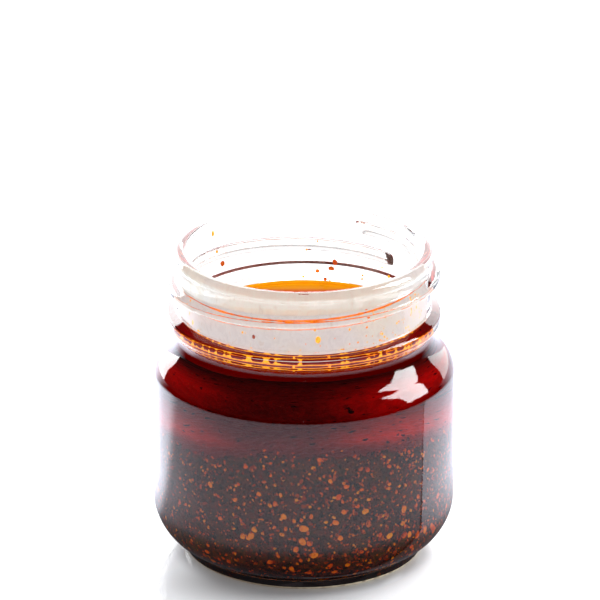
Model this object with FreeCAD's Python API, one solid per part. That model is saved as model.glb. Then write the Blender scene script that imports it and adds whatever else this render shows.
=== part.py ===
import FreeCAD, Part
import math
import os

# Jar of chili crisp: a squat wide-mouth glass jar with a screw neck, settled chili flakes in its lower
# part and chili oil above them up to the foot of the neck. Sizes in mm. +Z is up and the origin is the
# centre of the plane that the jar stands on. Heights of the neck are counted down from the rim.

# Body of the jar, outside
jar_height = 81.0
body_radius = 38.5
heel_height = 7.75
heel_rounding = 12.0
shoulder_rounding = 6.0
shoulder_drop = 29.64

# Foot ring that the jar stands on
foot_inset = 8.1
foot_width = 2.8
foot_height = 2.4
foot_rounding = 0.9
push_up = 1.4
push_up_slope = 1.4

# Glass thickness
body_wall = 2.6
neck_wall = 2.9
base_thickness = 2.6
inner_heel_rounding = 11.0
inner_shoulder_rounding = 4.0
inner_throat_rounding = 8.0
inner_shoulder_drop = 30.8
inner_throat_drop = 26.86

# Screw neck, outside
neck_radius = 32.5
lip_step = 0.4
lip_drop = 2.2
lip_rounding = 1.6
lip_inner_rounding = 1.25
waist_step = 0.5
waist_drop = 25.56
waist_rounding = 7.5

# Bead under the thread
bead_step = 2.4
bead_lower_drop = 21.1
bead_crest_lower_drop = 18.8
bead_crest_upper_drop = 16.4
bead_upper_drop = 15.4
bead_rounding = 0.9
small_rounding = 0.4

# Right-hand thread of little more than one turn
thread_pitch = 6.35
thread_depth = 2.35
thread_root_width = 3.6
thread_crest_width = 1.3
thread_top_drop = 4.7
thread_top_angle = 66.0
thread_turn = 384.0
thread_run_out = 14.0
thread_embed = 1.0
thread_step = 7.5

# Contents
oil_drop = 20.8
sediment_span = 2.4
# Height of the settled flakes above the floor of the jar, row by row from front to back, left to right
sediment_heights = [
    [28.2, 30.2, 34.4, 34.8, 33.4, 31.6],
    [28.8, 30.8, 34.0, 34.6, 33.0, 31.2],
    [29.4, 31.4, 32.4, 33.4, 32.0, 31.0],
    [29.0, 30.6, 31.6, 31.2, 31.4, 30.2],
    [28.4, 30.0, 30.4, 31.0, 30.2, 29.6],
    [28.6, 29.2, 30.0, 29.6, 29.8, 29.2],
]

# Sizes that follow from the ones above
foot_radius = body_radius - foot_inset
waist_radius = neck_radius + waist_step
cavity_radius = body_radius - body_wall
throat_radius = neck_radius - neck_wall
floor_height = push_up + base_thickness
oil_level = jar_height - oil_drop
thread_crest_radius = neck_radius + thread_depth
bead_radius = neck_radius + bead_step


def point(radius, height):
    """A point of the half section, which lies in the XZ plane."""
    return FreeCAD.Vector(radius, 0.0, height)


def rounded_path(corners):
    """Edges through corners given as (radius, height, rounding), each corner rounded by its own arc."""
    edges = []
    start = point(corners[0][0], corners[0][1])
    for before, here, after in zip(corners, corners[1:], corners[2:]):
        corner = point(here[0], here[1])
        towards = (corner - point(before[0], before[1])).normalize()
        away = (point(after[0], after[1]) - corner).normalize()
        half_turn = towards.getAngle(away) / 2.0
        tangent = here[2] * math.tan(half_turn)
        inward = (away - towards).normalize()
        arc_start = corner - towards * tangent
        arc_end = corner + away * tangent
        arc_middle = corner + inward * (here[2] / math.cos(half_turn) - here[2])
        edges.append(Part.makeLine(start, arc_start))
        edges.append(Part.Arc(arc_start, arc_middle, arc_end).toShape())
        start = arc_end
    edges.append(Part.makeLine(start, point(corners[-1][0], corners[-1][1])))
    return edges


def turned(edges):
    """The solid that a closed half section sweeps out around the Z axis."""
    section = Part.Face(Part.Wire(edges))
    return section.revolve(point(0.0, 0.0), FreeCAD.Vector(0.0, 0.0, 1.0), 360.0)


def outside_corners():
    """Outside of the jar, from the middle of its underside up to the rim."""
    underside_radius = foot_radius - foot_width - push_up_slope
    return [
        (0.0, push_up, 0.0),
        (underside_radius, push_up, small_rounding),
        (foot_radius - foot_width, 0.0, small_rounding),
        (foot_radius, 0.0, foot_rounding),
        (foot_radius, foot_height, small_rounding),
        (body_radius, heel_height, heel_rounding),
        (body_radius, jar_height - shoulder_drop, shoulder_rounding),
        (waist_radius, jar_height - waist_drop, waist_rounding),
        (waist_radius, jar_height - bead_lower_drop, bead_rounding),
        (bead_radius, jar_height - bead_crest_lower_drop, bead_rounding),
        (bead_radius, jar_height - bead_crest_upper_drop, bead_rounding),
        (neck_radius, jar_height - bead_upper_drop, small_rounding),
        (neck_radius, jar_height - lip_drop - lip_step, small_rounding),
        (neck_radius + lip_step, jar_height - lip_drop, small_rounding),
        (neck_radius + lip_step, jar_height, lip_rounding),
    ]


def inside_corners():
    """Inside of the jar below the rim, from the throat down to the middle of the floor."""
    return [
        (throat_radius, jar_height - inner_throat_drop, inner_throat_rounding),
        (cavity_radius, jar_height - inner_shoulder_drop, inner_shoulder_rounding),
        (cavity_radius, floor_height, inner_heel_rounding),
        (0.0, floor_height, 0.0),
    ]


def thread_section(turned_by):
    """Section of the thread after turning clockwise by an angle; both of its ends sink into the neck."""
    run_in = min(1.0, turned_by / thread_run_out, (thread_turn - turned_by) / thread_run_out)
    crest = neck_radius - thread_embed / 2.0 + (thread_depth + thread_embed / 2.0) * run_in
    root = neck_radius - thread_embed
    middle = jar_height - thread_top_drop - thread_pitch * turned_by / 360.0
    outline = [
        point(root, middle - thread_root_width / 2.0),
        point(crest, middle - thread_crest_width / 2.0),
        point(crest, middle + thread_crest_width / 2.0),
        point(root, middle + thread_root_width / 2.0),
    ]
    wire = Part.makePolygon(outline + outline[:1])
    wire.rotate(point(0.0, 0.0), FreeCAD.Vector(0.0, 0.0, 1.0), thread_top_angle - turned_by)
    return wire


def thread():
    """The thread, lofted through its sections."""
    steps = round(thread_turn / thread_step)
    sections = [thread_section(thread_turn * step / steps) for step in range(steps + 1)]
    return Part.makeLoft(sections, True, False)


def glass_jar():
    """The glass as one solid: body, neck, bead, lip and thread."""
    rim = [(throat_radius, jar_height, lip_inner_rounding)]
    walls = rounded_path(outside_corners() + rim + inside_corners())
    middle = Part.makeLine(point(0.0, floor_height), point(0.0, push_up))
    return turned(walls + [middle]).fuse(thread())


def filling():
    """Everything in the jar: what its inside holds up to the oil level."""
    surface = [(0.0, oil_level, 0.0), (throat_radius, oil_level, 0.0)]
    walls = rounded_path(surface[1:] + inside_corners())
    top = Part.makeLine(point(0.0, oil_level), point(throat_radius, oil_level))
    middle = Part.makeLine(point(0.0, floor_height), point(0.0, oil_level))
    return turned([top] + walls + [middle])


def settled_block():
    """A block under the uneven top of the settled flakes, wider than the jar."""
    rows = len(sediment_heights)
    reach = sediment_span * cavity_radius / 2.0
    grid = []
    for column in range(rows):
        across = reach * (2.0 * column / (rows - 1) - 1.0)
        line = []
        for row in range(rows):
            along = reach * (2.0 * row / (rows - 1) - 1.0)
            height = floor_height + sediment_heights[row][column]
            line.append(FreeCAD.Vector(across, along, height))
        grid.append(line)
    top = Part.BSplineSurface()
    top.interpolate(grid)
    return top.toShape().extrude(FreeCAD.Vector(0.0, 0.0, -jar_height))


def save(node, shape):
    """Write one node as a STEP file."""
    shape.exportStep("parts/" + node + ".step")


os.makedirs("parts", exist_ok=True)
contents = filling()
flakes = settled_block()
save("glass_jar", glass_jar())
save("chili_oil", contents.cut(flakes))
save("chili_sediment", contents.common(flakes))
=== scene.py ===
import math
import random

import bmesh
import bpy
import numpy as np
from mathutils import Matrix, Vector, noise
from mathutils.bvhtree import BVHTree


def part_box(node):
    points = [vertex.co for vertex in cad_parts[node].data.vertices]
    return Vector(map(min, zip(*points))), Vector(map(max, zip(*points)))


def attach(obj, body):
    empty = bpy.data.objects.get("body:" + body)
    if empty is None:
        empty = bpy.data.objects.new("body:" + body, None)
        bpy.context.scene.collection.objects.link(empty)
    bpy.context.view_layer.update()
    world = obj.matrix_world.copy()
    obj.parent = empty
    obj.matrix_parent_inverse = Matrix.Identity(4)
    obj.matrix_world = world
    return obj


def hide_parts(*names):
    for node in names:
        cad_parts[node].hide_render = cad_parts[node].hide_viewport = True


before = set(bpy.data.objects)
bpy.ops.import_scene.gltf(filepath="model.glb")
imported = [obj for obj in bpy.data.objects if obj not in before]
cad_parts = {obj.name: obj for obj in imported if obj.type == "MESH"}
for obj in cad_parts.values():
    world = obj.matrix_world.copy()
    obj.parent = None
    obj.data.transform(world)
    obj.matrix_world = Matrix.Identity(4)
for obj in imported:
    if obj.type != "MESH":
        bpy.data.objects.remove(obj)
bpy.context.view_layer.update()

MM = 0.001

# Sizes read from the frame
jar_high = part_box("glass_jar")[1]
oil_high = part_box("chili_oil")[1]
sediment_low, sediment_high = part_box("chili_sediment")
JAR_HEIGHT = jar_high.z
BODY_RADIUS = jar_high.x
OIL_LEVEL = oil_high.z
FLOOR_OF_JAR = sediment_low.z
CAVITY_RADIUS = oil_high.x

# Outline of the glass, from the foot up, as the solid has it
FOOT_RADIUS = BODY_RADIUS - 8.1 * MM
FOOT_WIDTH = 2.8 * MM
FOOT_HEIGHT = 2.4 * MM
FOOT_ROUNDING = 0.9 * MM
PUSH_UP = 1.4 * MM
PUSH_UP_SLOPE = 1.4 * MM
HEEL_HEIGHT = 7.75 * MM
HEEL_ROUNDING = 12.0 * MM
SHOULDER = JAR_HEIGHT - 29.64 * MM
SHOULDER_ROUNDING = 6.0 * MM
NECK_RADIUS = 32.5 * MM
WAIST_RADIUS = NECK_RADIUS + 0.5 * MM
WAIST = JAR_HEIGHT - 25.56 * MM
WAIST_ROUNDING = 7.5 * MM
BEAD_RADIUS = NECK_RADIUS + 2.4 * MM
BEAD_FOOT = JAR_HEIGHT - 21.1 * MM
BEAD_LOW = JAR_HEIGHT - 18.8 * MM
BEAD_HIGH = JAR_HEIGHT - 16.4 * MM
BEAD_TOP = JAR_HEIGHT - 15.4 * MM
BEAD_ROUNDING = 0.9 * MM
LIP_RADIUS = NECK_RADIUS + 0.4 * MM
LIP = JAR_HEIGHT - 2.2 * MM
LIP_ROUNDING = 1.6 * MM
LIP_INNER_ROUNDING = 1.25 * MM
THROAT_RADIUS = 29.6 * MM
THROAT = JAR_HEIGHT - 26.86 * MM
THROAT_ROUNDING = 8.0 * MM
INNER_SHOULDER = JAR_HEIGHT - 30.8 * MM
INNER_SHOULDER_ROUNDING = 4.0 * MM
INNER_HEEL_ROUNDING = 11.0 * MM
SMALL = 0.4 * MM

# Thread of the neck
THREAD_PITCH = 6.35 * MM
THREAD_DEPTH = 2.35 * MM
THREAD_ROOT = 3.6 * MM
THREAD_CREST = 1.3 * MM
THREAD_TOP = JAR_HEIGHT - 4.7 * MM
THREAD_TOP_ANGLE = math.radians(66.0)
THREAD_TURN = math.radians(384.0)
THREAD_RUN_OUT = math.radians(9.0)

# How far the oil reaches into the glass, and how high it creeps up the throat
REACH = 0.12 * MM
CREEP = 0.9 * MM
CREEP_WIDTH = 1.5 * MM

# Side of the jar where most of the pale things have settled
MORE_AT = math.radians(-42.0)


class Val:
    """A shader socket that adds its own maths nodes when it is used in an expression."""

    def __init__(self, tree, socket):
        self.tree = tree
        self.socket = socket

    def maths(self, operation, *others, clamp=False):
        node = self.tree.nodes.new("ShaderNodeMath")
        node.operation = operation
        node.use_clamp = clamp
        for into, value in zip(node.inputs, (self,) + others):
            plug(self.tree, into, value)
        return Val(self.tree, node.outputs[0])

    def __add__(self, other):
        return self.maths("ADD", other)

    __radd__ = __add__

    def __mul__(self, other):
        return self.maths("MULTIPLY", other)

    __rmul__ = __mul__

    def __sub__(self, other):
        return self.maths("SUBTRACT", other)

    def __rsub__(self, other):
        return (self * -1.0) + other

    def __pow__(self, other):
        return self.maths("POWER", other)

    def __gt__(self, other):
        return self.maths("GREATER_THAN", other)

    def __lt__(self, other):
        return self.maths("LESS_THAN", other)

    def step(self, low, high):
        """0 below low, 1 above high and smooth between them."""
        node = self.tree.nodes.new("ShaderNodeMapRange")
        node.interpolation_type = "SMOOTHSTEP"
        plug(self.tree, node.inputs["Value"], self)
        node.inputs["From Min"].default_value = low
        node.inputs["From Max"].default_value = high
        return Val(self.tree, node.outputs["Result"])


def plug(tree, into, value):
    """Feed a socket with another socket's value, or with a plain number or colour."""
    if isinstance(value, Val):
        tree.links.new(value.socket, into)
    elif isinstance(value, tuple) and len(value) == 3 and len(into.default_value) == 4:
        into.default_value = (*value, 1.0)
    else:
        into.default_value = value


class Finish:
    """A material, light or world tree with one method that adds any node."""

    def __init__(self, tree):
        self.tree = tree
        tree.nodes.clear()

    def node(self, kind, settings=(), **sockets):
        """A node of this kind, its settings first and then its sockets; spaces in names are underscores."""
        made = self.tree.nodes.new("ShaderNode" + kind)
        for name, value in dict(settings).items():
            setattr(made, name, value)
        for name, value in sockets.items():
            key = int(name[1:]) if name[0] == "_" else name.replace("_", " ")
            plug(self.tree, made.inputs[key], value)
        return made

    def out(self, made, name=0):
        return Val(self.tree, made.outputs[name])

    def noise(self, place, scale, detail=3.0, roughness=0.5, distortion=0.0):
        made = self.node("TexNoise", Vector=place, Scale=scale, Detail=detail,
                         Roughness=roughness, Distortion=distortion)
        return self.out(made)

    def mix(self, share, first, second):
        """A colour between two colours."""
        made = self.node("Mix", {"data_type": "RGBA"}, _0=share, _6=first, _7=second)
        return self.out(made, 2)


def material(name):
    made = bpy.data.materials.new(name)
    made.use_nodes = True
    return made, Finish(made.node_tree)


def principled(finish, **sockets):
    return finish.node("BsdfPrincipled", **sockets)


def lets_lamps_through(finish, shader, tint=(1.0, 1.0, 1.0), volume=None):
    """Ends a clear finish: lamps shine straight through it, and everything else bends in it."""
    path = finish.node("LightPath")
    open_way = finish.node("BsdfTransparent", Color=tint)
    both = finish.node("MixShader")
    plug(finish.tree, both.inputs[0], finish.out(path, "Is Shadow Ray"))
    finish.tree.links.new(shader.outputs[0], both.inputs[1])
    finish.tree.links.new(open_way.outputs[0], both.inputs[2])
    end = finish.node("OutputMaterial")
    finish.tree.links.new(both.outputs[0], end.inputs["Surface"])
    if volume is not None:
        finish.tree.links.new(volume.outputs[0], end.inputs["Volume"])


def end_with(finish, shader):
    end = finish.node("OutputMaterial")
    finish.tree.links.new(shader.outputs[0], end.inputs["Surface"])


# ---------------------------------------------------------------- finishes

def clear_glass():
    """Smooth clear glass with faint waviness from the mould."""
    made, f = material("clear_glass")
    place = f.out(f.node("TexCoord"), "Object")
    waves = f.noise(place, 60.0, 2.0)
    bump = f.node("Bump", Strength=0.05, Distance=0.0004, Height=waves)
    glass = principled(f, Base_Color=(0.985, 0.995, 0.992), Roughness=0.0, IOR=1.5,
                       Transmission_Weight=1.0, Normal=f.out(bump))
    lets_lamps_through(f, glass, (0.8, 0.8, 0.8))
    return made


def foot_glass_painted_dark():
    """The underside of the jar, tinted dark as painted shade for the shadowed table under it, so that it only
    shows the dark filling above it.
    """
    made, f = material("foot_glass_painted_dark")
    glass = principled(f, Base_Color=(0.16, 0.12, 0.11), Roughness=0.0, IOR=1.5,
                       Transmission_Weight=1.0)
    lets_lamps_through(f, glass, (0.1, 0.1, 0.1))
    return made


def worn_edge_painted_glow():
    """The worn edge that the jar stands on. It glows a little as painted light, for light piped down the
    wall, brighter towards the right and broken by small dark chips.
    """
    made, f = material("worn_edge_painted_glow")
    place = f.out(f.node("TexCoord"), "Object")
    x = f.out(f.node("SeparateXYZ", Vector=place), "X")
    chips = f.noise(place, 900.0, 3.0)
    # Painted light: the glow is brighter towards the right.
    glow = f.mix(x.step(-0.012, 0.030), (0.10, 0.070, 0.045), (0.80, 0.72, 0.52))
    glow = f.mix(chips.step(0.45, 0.70), glow, (0.10, 0.07, 0.05))
    end_with(f, principled(f, Base_Color=(0.30, 0.25, 0.19), Roughness=0.4, Emission_Color=glow,
                           Emission_Strength=0.55))
    return made


def wetted_glass():
    """The inside of the glass where oil lies against it, which bends light only a little."""
    made, f = material("wetted_glass")
    glass = principled(f, Base_Color=(0.985, 0.995, 0.992), Roughness=0.0, IOR=1.02,
                       Transmission_Weight=1.0)
    lets_lamps_through(f, glass)
    return made


def chili_oil():
    """The body of the oil: it swallows blue at once, green soon and red slowly."""
    made, f = material("chili_oil")
    oil = principled(f, Base_Color=(1.0, 1.0, 1.0), Roughness=0.0, IOR=1.0,
                     Transmission_Weight=1.0)
    swallow = f.node("VolumeAbsorption", Color=(0.9964, 0.90, 0.0), Density=5000.0)
    lets_lamps_through(f, oil, volume=swallow)
    return made


def oil_top():
    """The free surface of the oil. Its colour is painted light, set by place: dark red swirls in the middle,
    lighter orange towards the back, bright orange at the far edge and an orange ring along the front edge.
    """
    made, f = material("oil_surface")
    place = f.out(f.node("TexCoord"), "Object")
    xyz = f.node("SeparateXYZ", Vector=place)
    x, y = f.out(xyz, "X"), f.out(xyz, "Y")
    away = (x * x + y * y) ** 0.5
    swirls = f.noise(place, 48.0, 3.0, 0.5, 0.6)
    deep = f.mix(swirls.step(0.25, 0.78), (0.24, 0.013, 0.002), (0.40, 0.032, 0.004))
    # Painted light: lighter and more orange towards the back and at the edges.
    back = f.mix(y.step(0.004, 0.021), deep, (0.72, 0.13, 0.02))
    thin = f.mix(y.step(0.0238, 0.0268), back, (0.98, 0.36, 0.004))
    tint = f.mix(away.step(0.0235, 0.026) * (1.0 - y.step(-0.016, 0.0)), thin, (0.75, 0.10, 0.004))
    oil = principled(f, Base_Color=tint, Roughness=0.0, IOR=1.06, Transmission_Weight=0.2)
    lets_lamps_through(f, oil, (1.0, 0.55, 0.2))
    return made


def settled():
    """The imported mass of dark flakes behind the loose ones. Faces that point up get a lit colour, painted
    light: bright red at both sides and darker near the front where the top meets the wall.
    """
    made, f = material("settled_flakes")
    place = f.out(f.node("TexCoord"), "Object")
    coarse = f.noise(place, 700.0, 4.0)
    fine = f.noise(place, 2200.0, 3.0)
    dark = f.mix(coarse.step(0.35, 0.62), (0.004, 0.003, 0.008), (0.075, 0.012, 0.012))
    dark = f.mix(fine.step(0.58, 0.70), dark, (0.18, 0.035, 0.022))
    xyz = f.node("SeparateXYZ", Vector=place)
    x, y = f.out(xyz, "X"), f.out(xyz, "Y")
    # Painted light on the top: brighter at both sides, and painted shade near the front of the wall.
    lit_sides = x.step(0.000, 0.020) + (x * -1.0).step(0.010, 0.028)
    away = (x * x + y * y) ** 0.5
    shaded_brim = away.step(0.020, 0.033) * (1.0 - y.step(-0.014, 0.002))
    top = f.mix(lit_sides * (1.0 - shaded_brim * 0.9), (0.13, 0.007, 0.002), (1.0, 0.14, 0.01))
    top = f.mix(shaded_brim * 0.6, top, (0.045, 0.008, 0.006))
    top = f.mix(coarse.step(0.2, 0.9) * 0.3, top, (0.25, 0.02, 0.005))
    # Painted light: faces that point up take the lit top colour, the others the dark flakes.
    facing = f.out(f.node("SeparateXYZ", Vector=f.out(f.node("NewGeometry"), "Normal")), "Z")
    lit = f.mix(facing.step(0.5, 0.8), dark, top)
    bump = f.node("Bump", Strength=0.8, Distance=0.0008, Height=coarse + fine * 0.4)
    end_with(f, principled(f, Base_Color=lit, Roughness=0.45, Normal=f.out(bump)))
    return made


def flecked(name, deep, middle, pale, roughness, gloss=0.5):
    """A finish for small scattered things, each with its own shade."""
    made, f = material(name)
    shade = f.out(f.node("Attribute", {"attribute_name": "shade"}), "Fac")
    place = f.out(f.node("TexCoord"), "Object")
    mottle = f.noise(place, 1800.0, 3.0)
    first = f.mix(shade.step(0.0, 0.55), deep, middle)
    second = f.mix(shade.step(0.5, 1.0), first, pale)
    spotted = f.mix(mottle.step(0.45, 0.75), second, deep)
    bump = f.node("Bump", Strength=0.5, Distance=0.0003, Height=mottle)
    end_with(f, principled(f, Base_Color=spotted, Roughness=roughness, Specular_IOR_Level=gloss,
                           Normal=f.out(bump)))
    return made


# ---------------------------------------------------------------- glass

def mesh_object(name, bm, *materials):
    """A finished piece from a bmesh, smooth, riding on the jar."""
    mesh = bpy.data.meshes.new(name)
    bm.to_mesh(mesh)
    bm.free()
    mesh.shade_smooth()
    for each in materials:
        mesh.materials.append(each)
    made = bpy.data.objects.new(name, mesh)
    bpy.context.scene.collection.objects.link(made)
    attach(made, "root")
    return made


def outline(bm, corners):
    """A line through (radius, height, rounding) corners, each rounded by its own bevel."""
    verts = [bm.verts.new((radius, 0.0, height)) for radius, height, _ in corners]
    for first, second in zip(verts, verts[1:]):
        bm.edges.new((first, second))
    for i in range(1, len(corners) - 1):
        rounding = corners[i][2]
        if rounding == 0.0:
            continue
        here = Vector((corners[i][0], corners[i][1]))
        before = Vector((corners[i - 1][0], corners[i - 1][1]))
        after = Vector((corners[i + 1][0], corners[i + 1][1]))
        turn = (here - before).angle(after - here)
        segments = max(3, round(turn * (rounding / MM) ** 0.5 * 4.5))
        bmesh.ops.bevel(bm, geom=[verts[i]], offset=rounding * math.tan(turn / 2),
                        offset_type="OFFSET", segments=segments, profile=0.5,
                        affect="VERTICES", material=-1)
    return verts


def spun(bm, steps):
    """Turn everything in the bmesh once around the axis and close it."""
    bmesh.ops.spin(bm, geom=bm.verts[:] + bm.edges[:], cent=(0, 0, 0), axis=(0, 0, 1),
                   angle=math.tau, steps=steps, use_merge=True)
    bmesh.ops.remove_doubles(bm, verts=bm.verts[:], dist=1e-6)
    bmesh.ops.recalc_face_normals(bm, faces=bm.faces[:])


def inside_corners(reach):
    """Inside of the jar from the throat down to the middle of its floor, moved into the glass by reach."""
    return [
        (THROAT_RADIUS + reach, THROAT + reach * 0.2, THROAT_ROUNDING),
        (CAVITY_RADIUS + reach, INNER_SHOULDER + reach * 0.7, INNER_SHOULDER_ROUNDING),
        (CAVITY_RADIUS + reach, FLOOR_OF_JAR - reach, INNER_HEEL_ROUNDING),
        (0.0, FLOOR_OF_JAR - reach, 0.0),
    ]


def thread_height(angle, height):
    """How far the thread stands out of the neck at an angle and a height."""
    stands = 0.0
    for lap in (0, 1):
        turned = (THREAD_TOP_ANGLE - angle) % math.tau + lap * math.tau
        if turned > THREAD_TURN:
            continue
        middle = THREAD_TOP - THREAD_PITCH * turned / math.tau
        away = abs(height - middle)
        flank = min(1.0, max(0.0, (THREAD_ROOT / 2 - away) / ((THREAD_ROOT - THREAD_CREST) / 2)))
        end = min(1.0, turned / THREAD_RUN_OUT, (THREAD_TURN - turned) / THREAD_RUN_OUT)
        stands = max(stands, THREAD_DEPTH * flank * math.sin(end * math.pi / 2))
    return stands


def jar():
    """The glass in one piece: foot, body, shoulder, bead, threaded neck and lip."""
    under = FOOT_RADIUS - FOOT_WIDTH - PUSH_UP_SLOPE
    outside = [
        (0.0, PUSH_UP, 0.0),
        (under, PUSH_UP, SMALL),
        (FOOT_RADIUS - FOOT_WIDTH, 0.0, SMALL),
        (FOOT_RADIUS, 0.0, FOOT_ROUNDING),
        (FOOT_RADIUS, FOOT_HEIGHT, SMALL),
        (BODY_RADIUS, HEEL_HEIGHT, HEEL_ROUNDING),
        (BODY_RADIUS, SHOULDER, SHOULDER_ROUNDING),
        (WAIST_RADIUS, WAIST, WAIST_ROUNDING),
        (WAIST_RADIUS, BEAD_FOOT, BEAD_ROUNDING),
        (BEAD_RADIUS, BEAD_LOW, BEAD_ROUNDING),
        (BEAD_RADIUS, BEAD_HIGH, BEAD_ROUNDING),
        (NECK_RADIUS, BEAD_TOP, SMALL),
        (NECK_RADIUS, LIP - SMALL, SMALL),
        (LIP_RADIUS, LIP, SMALL),
        (LIP_RADIUS, JAR_HEIGHT, LIP_ROUNDING),
        (THROAT_RADIUS, JAR_HEIGHT, LIP_INNER_ROUNDING),
    ]
    bm = bmesh.new()
    outline(bm, outside + inside_corners(0.0))
    neck = [e for e in bm.edges if e.calc_length() > 8 * MM
            and all(abs(v.co.x - NECK_RADIUS) < 0.01 * MM for v in e.verts)]
    bmesh.ops.subdivide_edges(bm, edges=neck, cuts=60)
    throat = [e for e in bm.edges if e.calc_length() > 8 * MM
              and all(abs(v.co.x - THROAT_RADIUS) < 0.01 * MM for v in e.verts)]
    bmesh.ops.bisect_plane(bm, geom=throat + [v for e in throat for v in e.verts],
                           plane_co=(0, 0, OIL_LEVEL + CREEP), plane_no=(0, 0, 1))
    spun(bm, 300)
    for v in bm.verts:
        radius = math.hypot(v.co.x, v.co.y)
        if abs(radius - NECK_RADIUS) < 0.02 * MM and BEAD_TOP < v.co.z < LIP:
            stands = thread_height(math.atan2(v.co.y, v.co.x), v.co.z)
            v.co.x *= 1.0 + stands / radius
            v.co.y *= 1.0 + stands / radius
    for face in bm.faces:
        middle = face.calc_center_median()
        # edge: the rim the jar stands on, which gets a painted glow.
        edge = middle.z < 0.62 * MM and math.hypot(middle.x, middle.y) > FOOT_RADIUS - FOOT_ROUNDING
        # low: the rest of the foot, which gets glass tinted dark as painted shade.
        low = middle.z < FOOT_HEIGHT + 0.6 * MM and face.normal.z < 0.5
        face.material_index = 1 if wetted(face) else 3 if edge else 2 if low else 0
    made = mesh_object("jar", bm, clear_glass(), wetted_glass(), foot_glass_painted_dark(), worn_edge_painted_glow())
    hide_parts("glass_jar")
    return made


def wetted(face):
    """True for a face of the inside of the jar that the oil touches."""
    middle = face.calc_center_median()
    in_front = middle.y < -abs(middle.x) * 0.22 and middle.z < JAR_HEIGHT - 3.0 * MM
    if middle.z < FLOOR_OF_JAR - 0.1 * MM or middle.z > OIL_LEVEL + CREEP and not in_front:
        return False
    inward = face.normal.dot(Vector((middle.x, middle.y, 0.0)).normalized()) < -0.02
    return inward or middle.z < FLOOR_OF_JAR + 0.1 * MM and face.normal.z > 0.9


# ---------------------------------------------------------------- contents

def creep_corners(start, reach):
    """The edge of the oil's surface, which climbs the throat in a hollow curve."""
    points = []
    steps = 6
    for i in range(steps + 1):
        share = i / steps
        radius = THROAT_RADIUS + reach - CREEP_WIDTH * (1.0 - share)
        points.append((radius, OIL_LEVEL + start + CREEP * share ** 2.6, 0.0))
    return points


def oil_body():
    """All of the oil, from the floor of the jar up to its level, also between the flakes."""
    bm = bmesh.new()
    top = [(0.0, OIL_LEVEL - 0.03 * MM, 0.0)] + creep_corners(-0.03 * MM, REACH)
    outline(bm, top + inside_corners(REACH))
    spun(bm, 200)
    made = mesh_object("oil", bm, chili_oil())
    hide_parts("chili_oil")
    return made


def oil_surface():
    """The free surface of the oil with its rim that climbs the glass."""
    bm = bmesh.new()
    outline(bm, [(0.0, OIL_LEVEL, 0.0)] + creep_corners(0.0, REACH * 0.8))
    spun(bm, 200)
    for face in bm.faces:
        if face.normal.z < 0:
            face.normal_flip()
    made = mesh_object("oil_surface", bm, oil_top())
    return made


def cavity_radius(height):
    """Inside radius of the jar at a height in its lower part."""
    heel = FLOOR_OF_JAR + INNER_HEEL_ROUNDING
    if height >= heel:
        return CAVITY_RADIUS
    sunk = math.sqrt(max(0.0, INNER_HEEL_ROUNDING ** 2 - (heel - height) ** 2))
    return CAVITY_RADIUS - INNER_HEEL_ROUNDING + sunk


def node_tree(name):
    """The faces of a node of the frame, to measure on."""
    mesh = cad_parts[name].data
    return BVHTree.FromPolygons([v.co for v in mesh.vertices], [list(p.vertices) for p in mesh.polygons])


SEDIMENT_SOLID = node_tree("chili_sediment")


def settled_top(x, y):
    """Height of the settled flakes at a place, read from the solid's own top."""
    shrink = min(1.0, (CAVITY_RADIUS - 0.5 * MM) / max(1e-6, math.hypot(x, y)))
    start = Vector((x * shrink, y * shrink, OIL_LEVEL))
    place = SEDIMENT_SOLID.ray_cast(start, Vector((0, 0, -1)))[0]
    return place.z if place else sediment_high.z


def sediment_core():
    """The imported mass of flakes, a little inside the glass, with an uneven top."""
    gap = 0.8 * MM
    bm = bmesh.new()
    corners = [
        (0.0, sediment_high.z, 0.0),
        (CAVITY_RADIUS - gap, sediment_high.z, 1.0 * MM),
        (CAVITY_RADIUS - gap, FLOOR_OF_JAR + gap, INNER_HEEL_ROUNDING - gap),
        (0.0, FLOOR_OF_JAR + gap, 0.0),
    ]
    outline(bm, corners)
    long_edges = [e for e in bm.edges if e.calc_length() > 8 * MM]
    bmesh.ops.subdivide_edges(bm, edges=long_edges, cuts=40)
    spun(bm, 220)
    for v in bm.verts:
        top = settled_top(v.co.x, v.co.y)
        share = max(0.0, (v.co.z - FLOOR_OF_JAR) / (sediment_high.z - FLOOR_OF_JAR))
        v.co.z += (top - sediment_high.z) * share
        bumps = noise.fractal(v.co * 420.0, 1.0, 2.0, 3)
        push = Vector((v.co.x, v.co.y, 0.0)).normalized() * bumps * 0.5 * MM
        v.co += push if share < 0.97 else Vector((0, 0, bumps * 0.9 * MM))
    made = mesh_object("sediment_core", bm, settled())
    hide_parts("chili_sediment")
    return made


def seed_shape():
    """A flat chili seed with a small nick."""
    bm = bmesh.new()
    bmesh.ops.create_icosphere(bm, subdivisions=1, radius=0.5)
    bmesh.ops.scale(bm, vec=(1.0, 0.82, 0.30), verts=bm.verts[:])
    for v in bm.verts:
        if v.co.x > 0.3 and abs(v.co.y) < 0.2:
            v.co.x -= 0.16
    return bm


def crumb_shape(rng):
    """An uneven lump of fried garlic or shallot."""
    bm = bmesh.new()
    bmesh.ops.create_icosphere(bm, subdivisions=1, radius=0.5)
    for v in bm.verts:
        v.co *= rng.uniform(0.65, 1.2)
    bmesh.ops.scale(bm, vec=(1.0, rng.uniform(0.6, 0.9), rng.uniform(0.4, 0.7)), verts=bm.verts[:])
    return bm


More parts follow.
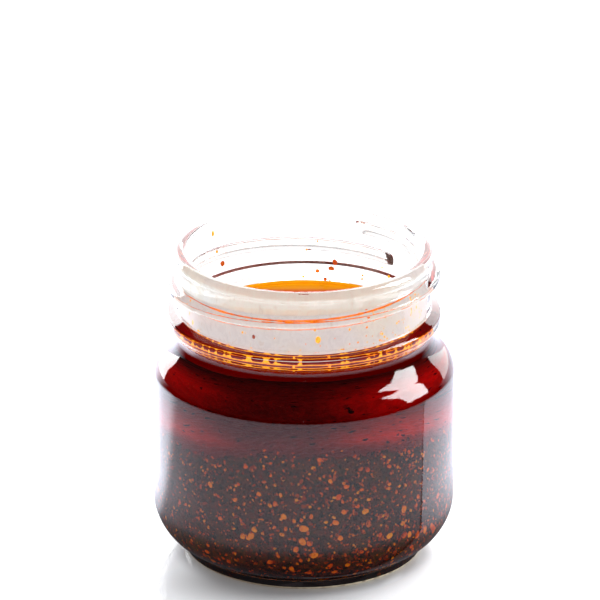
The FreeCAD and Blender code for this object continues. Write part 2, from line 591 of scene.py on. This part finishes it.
def flake_shape(rng):
    """A torn, slightly curled piece of chili skin."""
    bm = bmesh.new()
    made = bmesh.ops.create_circle(bm, cap_ends=True, segments=rng.choice((6, 7, 8)), radius=0.5)
    for v in made["verts"]:
        v.co *= rng.uniform(0.6, 1.15)
    bmesh.ops.scale(bm, vec=(1.0, rng.uniform(0.45, 0.8), 1.0), verts=bm.verts[:])
    bmesh.ops.solidify(bm, geom=bm.faces[:], thickness=0.08)
    curl = rng.uniform(-0.7, 0.7)
    for v in bm.verts:
        v.co.z += curl * v.co.x * v.co.x + rng.uniform(-0.03, 0.03)
    bmesh.ops.recalc_face_normals(bm, faces=bm.faces[:])
    return bm


def shapes_of(makers):
    """Point lists and face lists of some base shapes."""
    made = []
    for bm in makers:
        bm.verts.ensure_lookup_table()
        bm.verts.index_update()
        points = np.array([v.co[:] for v in bm.verts])
        faces = [[v.index for v in face.verts] for face in bm.faces]
        made.append((points, faces))
        bm.free()
    return made


def kept_inside(points):
    """The same points, pressed back to the inside of the glass where they would stand in it."""
    away = np.hypot(points[:, 0], points[:, 1])
    height = points[:, 2]
    below_heel = np.maximum(0.0, FLOOR_OF_JAR + INNER_HEEL_ROUNDING - height)
    sunk = np.sqrt(np.maximum(0.0, INNER_HEEL_ROUNDING ** 2 - below_heel ** 2))
    body = CAVITY_RADIUS - INNER_HEEL_ROUNDING + sunk
    wall = np.where(height > OIL_LEVEL, THROAT_RADIUS, body) - 0.02 * MM
    share = np.minimum(1.0, wall / np.maximum(away, 1e-6))
    return points * np.stack([share, share, np.ones_like(share)], axis=1)


def scattered(name, shapes, places, finish):
    """One joined piece that repeats base shapes at (matrix, shade) places."""
    rng = random.Random(name)
    points, faces, shades = [], [], []
    count = 0
    for matrix, shade in places:
        shape, its_faces = rng.choice(shapes)
        turned = shape @ np.array(matrix.to_3x3()).T + np.array(matrix.translation)
        points.append(turned)
        faces += [[count + i for i in face] for face in its_faces]
        shades += [shade] * len(shape)
        count += len(shape)
    mesh = bpy.data.meshes.new(name)
    mesh.from_pydata(kept_inside(np.concatenate(points)), [], faces)
    mesh.update()
    layer = mesh.attributes.new("shade", "FLOAT", "POINT")
    layer.data.foreach_set("value", shades)
    mesh.materials.append(finish)
    made = bpy.data.objects.new(name, mesh)
    bpy.context.scene.collection.objects.link(made)
    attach(made, "root")
    return made


def against_wall(rng, angle, height, depth, size, lean):
    """Place of a thing that lies nearly flat against the inside of the glass."""
    radius = cavity_radius(height)
    heel = FLOOR_OF_JAR + INNER_HEEL_ROUNDING
    slope = math.asin(min(1.0, max(0.0, (heel - height) / INNER_HEEL_ROUNDING)))
    outward = Vector((math.cos(angle) * math.cos(slope), math.sin(angle) * math.cos(slope), -math.sin(slope)))
    at = Vector((math.cos(angle) * radius, math.sin(angle) * radius, height)) - outward * depth
    turn = outward.to_track_quat("Z", "Y").to_matrix().to_4x4()
    spin = Matrix.Rotation(rng.uniform(0, math.tau), 4, "Z")
    tilt = Matrix.Rotation(rng.gauss(0, lean), 4, "X") @ Matrix.Rotation(rng.gauss(0, lean), 4, "Y")
    return Matrix.Translation(at) @ turn @ tilt @ spin @ Matrix.Diagonal((*size, 1.0))


def at_wall(rng, count, sizes, depths, lean, flat, low_bias, above=0.0):
    """Places of many things behind the glass, more of them lower down, up to the settled top."""
    places = []
    while len(places) < count:
        angle = rng.uniform(0, math.tau)
        if rng.random() > 0.66 + 0.34 * math.cos(angle - MORE_AT):
            continue
        x, y = math.cos(angle) * CAVITY_RADIUS, math.sin(angle) * CAVITY_RADIUS
        top = settled_top(x, y) + above * rng.uniform(-1.0, 1.0)
        share = rng.random() ** low_bias
        height = FLOOR_OF_JAR + 0.4 * MM + (top - FLOOR_OF_JAR) * share
        long = rng.triangular(*sizes) * MM
        size = (long, long * rng.uniform(0.75, 1.0), long * flat)
        depth = rng.uniform(*depths) * MM
        places.append((against_wall(rng, angle, height, depth, size, lean), rng.random()))
    return places


def on_top(rng, count, sizes):
    """Places of many things that lie on the settled flakes."""
    places = []
    while len(places) < count:
        radius = (CAVITY_RADIUS - 0.8 * MM) * math.sqrt(rng.random())
        angle = rng.uniform(0, math.tau)
        x, y = radius * math.cos(angle), radius * math.sin(angle)
        long = rng.triangular(*sizes) * MM
        tilt = Matrix.Rotation(rng.gauss(0, 0.35), 4, "X") @ Matrix.Rotation(rng.gauss(0, 0.35), 4, "Y")
        spin = Matrix.Rotation(rng.uniform(0, math.tau), 4, "Z")
        at = Matrix.Translation((x, y, settled_top(x, y) + rng.uniform(-0.3, 0.5) * MM))
        size = Matrix.Diagonal((long, long * rng.uniform(0.5, 1.0), long, 1.0))
        places.append((at @ tilt @ spin @ size, rng.random()))
    return places


# The largest seeds: angle from the front to the right, height and length in millimetres
LARGE_SEEDS = [
    (0.0, 19.6, 3.0), (-0.5, 16.1, 2.7), (12.6, 20.9, 2.2), (14.7, 16.5, 2.0), (36.0, 14.7, 2.4),
    (43.3, 20.8, 2.5), (56.2, 12.6, 2.4), (-21.0, 16.7, 2.5), (-39.6, 28.2, 2.1), (-7.8, 22.8, 2.1),
    (15.9, 23.6, 1.7), (4.1, 12.3, 2.6), (46.5, 13.2, 2.2), (-5.0, 8.4, 1.9), (-17.7, 28.3, 1.6),
    (-9.0, 28.6, 1.4), (-27.9, 25.7, 1.7), (36.0, 28.9, 1.4),
]


def loose_things():
    """Everything that shows behind the glass, one joined piece for each kind."""
    rng = random.Random(7)
    skins = shapes_of([flake_shape(rng) for _ in range(12)])
    seeds = shapes_of([seed_shape()])
    lumps = shapes_of([crumb_shape(rng) for _ in range(8)])
    dark_skin = flecked("toasted_skin", (0.004, 0.003, 0.008), (0.034, 0.008, 0.010),
                        (0.16, 0.028, 0.022), 0.45, 0.2)
    red_skin = flecked("chili_skin", (0.12, 0.014, 0.010), (0.40, 0.055, 0.022),
                       (0.80, 0.16, 0.04), 0.4, 0.2)
    seed = flecked("chili_seed", (0.80, 0.10, 0.001), (1.0, 0.22, 0.001), (1.0, 0.42, 0.015), 0.4, 0.2)
    golden = flecked("fried_crumb", (0.35, 0.04, 0.010), (0.80, 0.13, 0.008), (1.0, 0.38, 0.02), 0.45, 0.2)
    scattered("top_flakes", skins, on_top(rng, 240, (0.6, 2.2, 1.0)), dark_skin)
    scattered("dark_flakes", skins, at_wall(rng, 3600, (0.6, 2.6, 1.2), (0.30, 1.1), 0.35, 1.0, 0.9),
              dark_skin)
    scattered("red_flakes", skins, at_wall(rng, 1300, (0.4, 2.6, 0.9), (0.15, 0.8), 0.5, 1.0, 0.9, 2.2 * MM),
              red_skin)
    seed_places = at_wall(rng, 150, (0.8, 2.6, 1.3), (0.10, 0.45), 0.25, 1.0, 1.4)
    for angle, height, long in LARGE_SEEDS:
        size = (long * MM, long * 0.85 * MM, long * 0.9 * MM)
        turn = math.radians(angle - 90.0)
        place = against_wall(rng, turn, height * MM, 0.12 * MM, size, 0.15)
        seed_places.append((place, rng.uniform(0.55, 0.85)))
    scattered("chili_seeds", seeds, seed_places, seed)
    crumb_places = at_wall(rng, 1800, (0.25, 1.7, 0.5), (0.10, 0.5), 0.5, 1.0, 1.0, 2.4 * MM)
    scattered("fried_crumbs", lumps, crumb_places, golden)


# ---------------------------------------------------------------- traces in the neck

def oil_film():
    """The pale smear of oil that is left on the inside of the neck. It glows a little in its own colour,
    painted light.
    """
    made, f = material("oil_film")
    place = f.node("TexCoord")
    stretched = f.node("Mapping", Vector=f.out(place, "Object"), Scale=(1.0, 1.0, 0.6))
    smears = f.noise(f.out(stretched), 420.0, 6.0, 0.65, 1.2)
    clouds = f.noise(f.out(place, "Object"), 70.0, 2.0)
    where = f.node("SeparateXYZ", Vector=f.out(place, "Object"))
    ahead = 1.0 - f.out(where, "Y").step(-0.012, 0.010)
    wide = f.out(where, "X").maths("ABSOLUTE").step(0.016, 0.026)
    high = f.out(where, "Z").step(0.0725, 0.0752) * (1.0 - wide)
    uneven = (smears.step(0.35, 0.75) - 0.4) * 0.16 + (clouds - 0.5) * 0.25
    cover = 0.10 + ahead * 0.72 + ahead * high * 0.08 + uneven
    tint = f.mix(clouds.step(0.45, 0.65), (1.0, 0.99, 0.96), (1.0, 0.95, 0.84))
    tint = f.mix(high, tint, (1.0, 0.86, 0.74))
    tint = f.mix(smears.step(0.52, 0.72) * 0.5, tint, (0.62, 0.50, 0.40))
    # Painted light: the smear glows in its own colour.
    end_with(f, principled(f, Base_Color=tint, Roughness=0.4, Emission_Color=tint,
                           Emission_Strength=0.22, Alpha=cover))
    bm = bmesh.new()
    radius = THROAT_RADIUS - 0.03 * MM
    low, high = OIL_LEVEL + 2.2 * MM, JAR_HEIGHT - 2.0 * MM
    outline(bm, [(radius, low + (high - low) * i / 12, 0.0) for i in range(13)])
    spun(bm, 180)
    film = mesh_object("oil_film", bm, made)


def painted_shade_sheet():
    """A sheet in the oil near the far side of the glass, painted shade that dims what shines through from
    behind; it is tinted red and glows a little as painted light.
    """
    made, f = material("painted_shade_sheet")
    clouds = f.noise(f.out(f.node("TexCoord"), "Object"), 160.0, 4.0)
    tint = f.mix(clouds.step(0.3, 0.7), (0.42, 0.020, 0.004), (0.65, 0.035, 0.006))
    where = f.node("SeparateXYZ", Vector=f.out(f.node("TexCoord"), "Object"))
    aside = f.out(where, "X").maths("ARCTAN2", f.out(where, "Y")).maths("ABSOLUTE")
    ends = 1.0 - aside.step(0.80, 1.10)
    height = f.out(where, "Z") + (clouds - 0.5) * 0.002
    upper = 1.0 - height.step(OIL_LEVEL - 10.4 * MM, OIL_LEVEL - 8.8 * MM)
    # Painted light: the sheet glows red.
    end_with(f, principled(f, Base_Color=tint, Roughness=0.6, Specular_IOR_Level=0.1,
                           Emission_Color=tint, Emission_Strength=0.35, Alpha=ends * upper))
    bm = bmesh.new()
    steps, rows = 120, 12
    reach = CAVITY_RADIUS - 0.9 * MM
    grid = []
    for i in range(steps + 1):
        angle = math.radians(26.0 + 128.0 * i / steps)
        x, y = math.cos(angle) * reach, math.sin(angle) * reach
        low, high = settled_top(x, y) - 2.0 * MM, OIL_LEVEL - 8.5 * MM
        grid.append([bm.verts.new((x, y, low + (high - low) * k / rows)) for k in range(rows + 1)])
    for left, right in zip(grid, grid[1:]):
        for k in range(rows):
            bm.faces.new((left[k], right[k], right[k + 1], left[k + 1]))
    bmesh.ops.recalc_face_normals(bm, faces=bm.faces[:])
    dimming_sheet = mesh_object("painted_shade_sheet", bm, made)


def orange_oil():
    """Oil in a thin layer or a drop, from orange to yellow. It glows in its own colour, painted light for
    light that shines through the thin oil.
    """
    made, f = material("orange_oil")
    shade = f.out(f.node("Attribute", {"attribute_name": "shade"}), "Fac")
    mottle = f.noise(f.out(f.node("TexCoord"), "Object"), 1500.0, 3.0)
    tint = f.mix((shade + (mottle - 0.5) * 0.5).step(0.15, 0.55), (0.16, 0.006, 0.003), (1.0, 0.20, 0.01))
    tint = f.mix((shade + (mottle - 0.5) * 0.8).step(0.55, 1.0), tint, (1.0, 0.46, 0.02))
    # Painted light: the oil glows in its own colour.
    end_with(f, principled(f, Base_Color=tint, Roughness=0.3, Specular_IOR_Level=0.05,
                           Emission_Color=tint, Emission_Strength=0.75))
    return made


def oil_line(made):
    """The thicker orange line of oil where its surface meets the glass, with small runs above it. The tones
    of its rows, dark red low down, yellow higher and a dark red and orange band above that, are painted light
    and shade that give the bands seen through the bead.
    """
    bm = bmesh.new()
    steps = 720
    rng = random.Random(3)
    runs = [(rng.uniform(0, math.tau), rng.uniform(0.1, 0.7), rng.uniform(0.008, 0.02)) for _ in range(90)]
    runs += [(math.radians(-90 - 26), 2.3, 0.022), (math.radians(-90 - 17.5), 2.5, 0.022)]
    shade = bm.verts.layers.float.new("shade")
    rows = [[] for _ in range(8)]
    for i in range(steps):
        angle = math.tau * i / steps
        ahead = 0.5 - 0.5 * math.sin(angle)
        wave = noise.noise(Vector((math.cos(angle), math.sin(angle), 0.0)) * 9.0)
        shown = min(1.0, ahead * 2.2)
        edge = shown * (0.4 + 1.85 * ahead + 0.15 * wave)
        top = shown * (0.20 + 1.30 * ahead + 0.12 * wave)
        for at, height, width in runs:
            off = (angle - at + math.pi) % math.tau - math.pi
            top = max(top, shown * (0.15 + 1.30 * ahead) + height * shown * math.exp(-(off / width) ** 4))
        top = min(top, edge)
        middle = shown * (0.1 + 1.14 * ahead + 0.12 * wave)
        # Painted light and shade: each row's tone sets the dark red and yellow bands.
        layers = (
            (-0.6 * shown, 0.35, 0.0), (middle, 0.30, 0.1), (middle + 0.14, 0.28, 0.8), (top, 0.2, 1.0),
            (top + 0.08, 0.2, 0.15), (edge, 0.1, 0.0), (edge + 0.08, 0.05, 0.6), (edge + 0.22, 0.05, 0.6),
        )
        for row, (height, depth, tone) in zip(rows, layers):
            reach = THROAT_RADIUS - depth * MM
            vert = bm.verts.new((reach * math.cos(angle), reach * math.sin(angle), OIL_LEVEL + height * MM))
            vert[shade] = tone
            row.append(vert)
    for low, high in zip(rows, rows[1:]):
        for i in range(steps):
            k = (i + 1) % steps
            bm.faces.new((low[i], high[i], high[k], low[k]))
    bmesh.ops.recalc_face_normals(bm, faces=bm.faces[:])
    line = mesh_object("oil_line", bm, made)


def oil_streak(made):
    """Oil caught on the inside of the glass just behind the thread."""
    bm = bmesh.new()
    shade = bm.verts.layers.float.new("shade")
    steps = 260
    rows = [[], []]
    for i in range(steps):
        angle = math.radians(-168.0 + 158.0 * i / (steps - 1))
        middle = THREAD_TOP - THREAD_PITCH * (THREAD_TOP_ANGLE - angle) / math.tau - 2.3 * MM
        wave = noise.noise(Vector((math.cos(angle), math.sin(angle), 0.3)) * 22.0)
        for row, side in zip(rows, (-1.0, 1.0)):
            reach = THROAT_RADIUS - 0.015 * MM
            height = middle + side * (0.36 + 0.2 * wave) * MM
            vert = bm.verts.new((reach * math.cos(angle), reach * math.sin(angle), height))
            vert[shade] = 0.42 + 0.2 * wave
            row.append(vert)
    for i in range(steps - 1):
        bm.faces.new((rows[0][i], rows[1][i], rows[1][i + 1], rows[0][i + 1]))
    streak = mesh_object("oil_streak", bm, made)


def on_throat(angle, height, size):
    """Place of a thing that clings to the inside of the neck, angle counted from the front, to the right."""
    turn = math.radians(angle - 90.0)
    outward = Vector((math.cos(turn), math.sin(turn), 0.0))
    at = outward * (THROAT_RADIUS - 0.12 * MM) + Vector((0.0, 0.0, height * MM))
    facing = outward.to_track_quat("Z", "Y").to_matrix().to_4x4()
    return Matrix.Translation(at) @ facing @ Matrix.Diagonal((size[0] * MM, size[1] * MM, 0.5 * MM, 1.0))


def clinging(orange):
    """Drops of oil and bits of chili on the inside of the neck."""
    rng = random.Random(11)
    drops = [(6.8, 68.1, 1.5, 2.1, 0.9), (-24, 68.0, 0.9, 1.3, 0.2), (31, 73.0, 1.0, 1.0, 0.4),
             (31, 69.9, 0.7, 0.7, 0.7), (-128, 78.2, 0.9, 1.7, 0.8), (-131, 72.8, 0.8, 0.9, 0.7),
             (173, 63.7, 1.1, 1.1, 0.4), (169, 61.6, 1.0, 1.0, 0.3), (132, 65.8, 0.8, 0.8, 0.8),
             (-63, 66.5, 1.0, 1.6, 0.9), (-58, 65.0, 1.3, 1.0, 0.9), (-66, 68.4, 0.7, 1.1, 0.8)]
    places = [(on_throat(a, z, (w, h)), shade) for a, z, w, h, shade in drops]
    for _ in range(150):
        angle = rng.gauss(48, 26) if rng.random() < 0.7 else rng.uniform(-180, 180)
        height = 61.3 + rng.random() ** 1.7 * 11.0
        size = rng.triangular(0.2, 0.8, 0.3)
        place = on_throat(angle, height, (size, size * rng.uniform(1.0, 1.5)))
        places.append((place, rng.uniform(0.6, 1.0)))
    beads = shapes_of([drop_shape()])
    scattered("oil_drops", beads, places, orange)
    flakes = [(-135, 68.9, 1.9, 2.2, 0.6), (164, 66.4, 1.5, 2.2, 0.5), (166, 64.6, 1.6, 1.8, 0.7),
              (177, 69.5, 1.2, 0.9, 0.0), (-120, 66.6, 0.8, 0.6, 0.3)]
    bits = shapes_of([flake_shape(rng) for _ in range(5)])
    rust = flecked("wet_flake", (0.30, 0.04, 0.01), (0.80, 0.14, 0.015), (0.95, 0.34, 0.02), 0.25)
    places = [(on_throat(a, z, (w, h)), shade) for a, z, w, h, shade in flakes]
    scattered("clinging_flakes", bits, places, rust)


def drop_shape():
    """A round drop that is flattened against the glass."""
    bm = bmesh.new()
    bmesh.ops.create_icosphere(bm, subdivisions=2, radius=0.5)
    return bm


# ---------------------------------------------------------------- studio

def table_top():
    """A glossy white table; what the jar mirrors of it is brighter at the back and ends all round. Its own
    glow is taken away under the jar and round a spot at the front left of the foot, painted shadow, and what
    the jar mirrors of it is dark near the foot and along a thin band at the front right, also painted shadow.
    """
    bm = bmesh.new()
    bmesh.ops.create_grid(bm, x_segments=4, y_segments=4, size=3.0)
    mesh = bpy.data.meshes.new("table")
    bm.to_mesh(mesh)
    bm.free()
    made, f = material("white_table")
    path = f.node("LightPath")
    place = f.node("SeparateXYZ", Vector=f.out(f.node("TexCoord"), "Object"))
    x, y = f.out(place, "X"), f.out(place, "Y")
    away = (x * x + y * y) ** 0.5
    aside = x.maths("ARCTAN2", y)
    behind = 1.0 - aside.maths("ABSOLUTE").step(0.60, 1.10)
    behind_jar = y - x * 0.257
    right = (behind_jar > -0.0320) * (aside.step(0.60, 1.40) * 1.0 + 0.50)
    left = (1.0 - aside.step(-1.43, -1.20)) * -3.0 + 3.0
    far_left = left * (1.0 - (aside < -1.43)) * 0.85 + aside.step(-2.1, -1.43) * 0.2
    # Painted shadow in the reflection: a thin dark band at the front right of the jar.
    gap = behind_jar.step(-0.0342, -0.0338) * (1.0 - behind_jar.step(-0.0324, -0.0320)) * (aside > 0.0)
    # Painted shadow in the reflection: what the jar mirrors is dark close to its foot.
    under = away.step(0.036, 0.085) * 0.95 + 0.05
    half = aside.step(-0.45, 0.15)
    lit = half * right + (1.0 - half) * far_left + 1.45 - gap * 1.0
    near = 1.0 - away.step(0.150, 0.280)
    mirrored = f.out(path, "Is Glossy Ray") * (1.0 - f.out(path, "Is Transmission Ray"))
    # Painted shadow: the table's own glow is taken away round a spot at the front left of the foot and under
    # the jar.
    contact = ((x + 0.010) * (x + 0.010) * 0.35 + (y + 0.027) * (y + 0.027)) ** 0.5
    shine = f.mix(contact.step(0.005, 0.020) * away.step(0.029, 0.036), (0.0, 0.0, 0.0), (0.97, 0.99, 1.03))
    top = principled(f, Base_Color=(0.72, 0.725, 0.735), Roughness=0.03, IOR=1.5,
                     Emission_Color=shine, Emission_Strength=0.42)
    glow = f.node("Emission", Color=(0.93, 0.95, 1.08), Strength=lit * under * near.maths("MAXIMUM", behind))
    both = f.node("MixShader")
    plug(f.tree, both.inputs[0], mirrored)
    f.tree.links.new(top.outputs[0], both.inputs[1])
    f.tree.links.new(glow.outputs[0], both.inputs[2])
    end_with(f, both)
    mesh.materials.append(made)
    floor = bpy.data.objects.new("table", mesh)
    bpy.context.scene.collection.objects.link(floor)


def studio():
    """White around the table; reflections meet a bright arch behind and darkness elsewhere."""
    world = bpy.data.worlds.new("studio")
    bpy.context.scene.world = world
    world.use_nodes = True
    f = Finish(world.node_tree)
    path = f.node("LightPath")
    way = f.node("SeparateXYZ", Vector=f.out(f.node("TexCoord"), "Generated"))
    across, along, up = f.out(way, "X"), f.out(way, "Y"), f.out(way, "Z")
    deep = along.maths("MAXIMUM", 0.02)
    aside = across.maths("DIVIDE", deep)
    rise = up.maths("DIVIDE", deep)
    arch = (aside * aside * 0.69 + rise * rise * 2.16).step(1.06, 0.94)
    bright = arch * (3.7 + (1.0 - aside.step(-0.6, -0.2)) * 4.5) + 0.03
    ragged = f.noise(f.out(f.node("TexCoord"), "Generated"), 6.0, 4.0) * 0.24 - 0.12
    panel = (along + ragged).step(-0.14, -0.11) * (1.0 - (along - up * 0.2 + ragged).step(0.26, 0.29))
    panel = panel * (up + ragged).step(0.06, 0.10) * (across > 0.3)
    panel = panel * (1.0 - (up + ragged * 0.3).step(0.74, 0.77))
    bright = bright + panel * 14.0
    ahead = (along - up * 0.3).step(-0.5, 0.1)
    camera = f.out(path, "Is Camera Ray")
    clear = f.out(path, "Is Transmission Ray")
    mirrored = f.out(path, "Is Glossy Ray") * (1.0 - clear)
    plain = (1.0 - camera) * (1.0 - mirrored) * (1.0 - clear)
    strength = camera * 1.03 + mirrored * bright + clear * (ahead * 0.6 + 0.55) + plain * (along * 0.25 + 1.0)
    light = f.node("Background", Color=(0.98, 0.99, 1.0), Strength=strength)
    end = f.node("OutputWorld")
    f.tree.links.new(light.outputs[0], end.inputs["Surface"])


def lamp(name, size, place, target, power):
    """A rectangular soft lamp that points at the jar."""
    data = bpy.data.lights.new(name, "AREA")
    data.shape = "RECTANGLE"
    data.size, data.size_y = size
    data.energy = power
    made = bpy.data.objects.new(name, data)
    made.location = place
    made.rotation_euler = (Vector(target) - Vector(place)).to_track_quat("-Z", "Y").to_euler()
    made.visible_transmission = False
    made.visible_glossy = False
    bpy.context.scene.collection.objects.link(made)
    return made


def camera():
    """A long lens a metre and a half away that looks down a little."""
    distance, rise, lens = 1.535, math.radians(22.15), 360.0
    target = Vector((0.0, 0.0, 0.0395))
    data = bpy.data.cameras.new("camera")
    data.lens = lens
    data.sensor_width = 36.0
    data.clip_start, data.clip_end = 0.1, 20.0
    made = bpy.data.objects.new("camera", data)
    back = Vector((0.0, -math.cos(rise), math.sin(rise)))
    made.location = target + back * distance
    aim_up, aim_left = math.radians(0.957), math.radians(0.034)
    look = (-back).to_track_quat("-Z", "Y").to_matrix().to_4x4()
    nudge = Matrix.Rotation(aim_up, 4, "X") @ Matrix.Rotation(aim_left, 4, "Y")
    made.rotation_euler = (look @ nudge).to_euler()
    bpy.context.scene.collection.objects.link(made)
    bpy.context.scene.camera = made


camera()
table_top()
studio()
lamp("soft_box", (0.6, 0.6), (0.42, 0.66, 0.88), (0, 0, 0.05), 13.0)
jar()
oil_body()
oil_surface()
sediment_core()
loose_things()
painted_shade_sheet()
oil_film()
orange = orange_oil()
oil_line(orange)
oil_streak(orange)
clinging(orange)
bpy.context.scene.view_settings.view_transform = "Standard"
